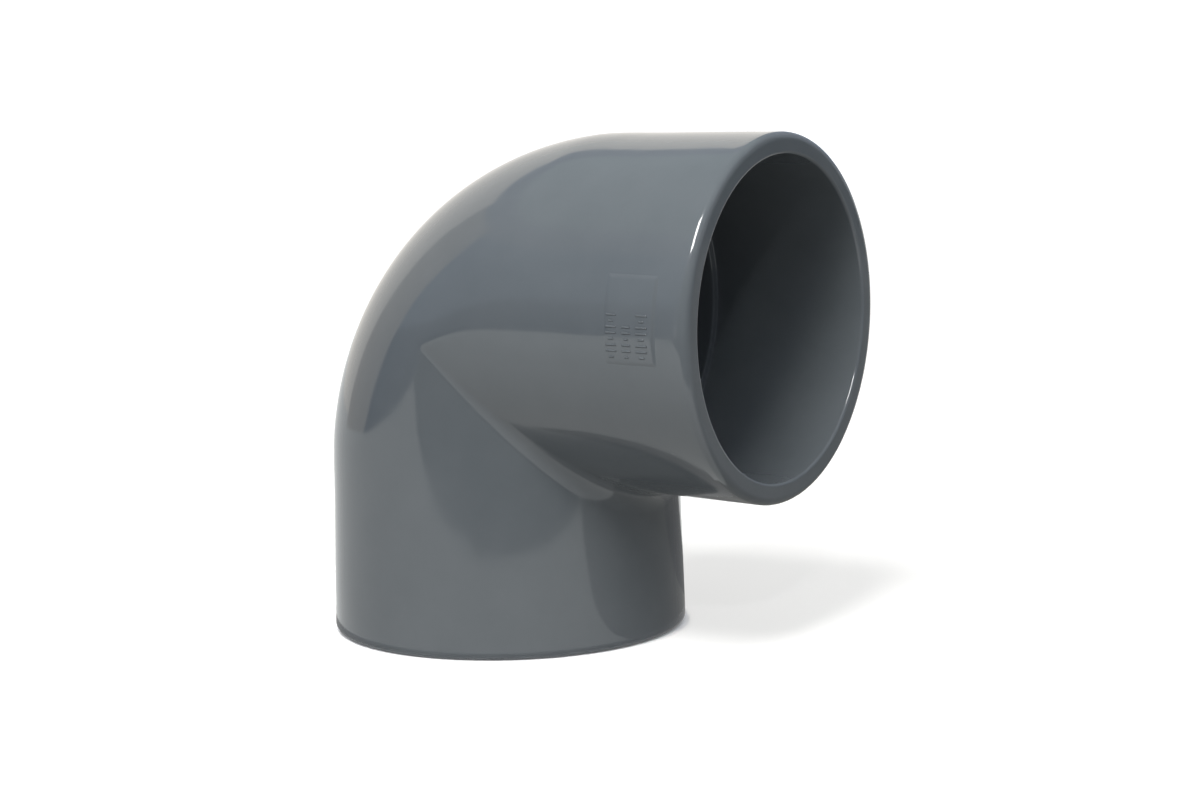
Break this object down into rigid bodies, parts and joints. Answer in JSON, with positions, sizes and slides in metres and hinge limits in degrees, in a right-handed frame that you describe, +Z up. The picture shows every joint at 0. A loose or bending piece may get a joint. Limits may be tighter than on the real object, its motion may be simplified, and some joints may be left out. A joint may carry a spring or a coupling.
{
  "type": "pipe elbow fitting",
  "caption": "Right-angle PVC pipe elbow with two plain solvent-weld sockets, a rounded outer bend and a creased inner corner.",
  "frame": {"origin": "centre of the lower socket's mouth, on the plane that the fitting stands on", "axes": "+Z up the lower socket's axis, +X out along the upper socket's axis, so the pipes leave along -Z and +X; +Y is across the fitting, and the marking is on the -Y side"},
  "size_m": [0.258, 0.1823, 0.258],
  "materials": {
    "grey_pvc": "glossy moulded PVC-U, dark blue-grey"
  },
  "bodies": {
    "root": {"lower_socket": "grey_pvc", "bend": "grey_pvc", "upper_socket": "grey_pvc", "marking_pad": "grey_pvc", "marking_bars": "grey_pvc"}
  },
  "joints": []
}
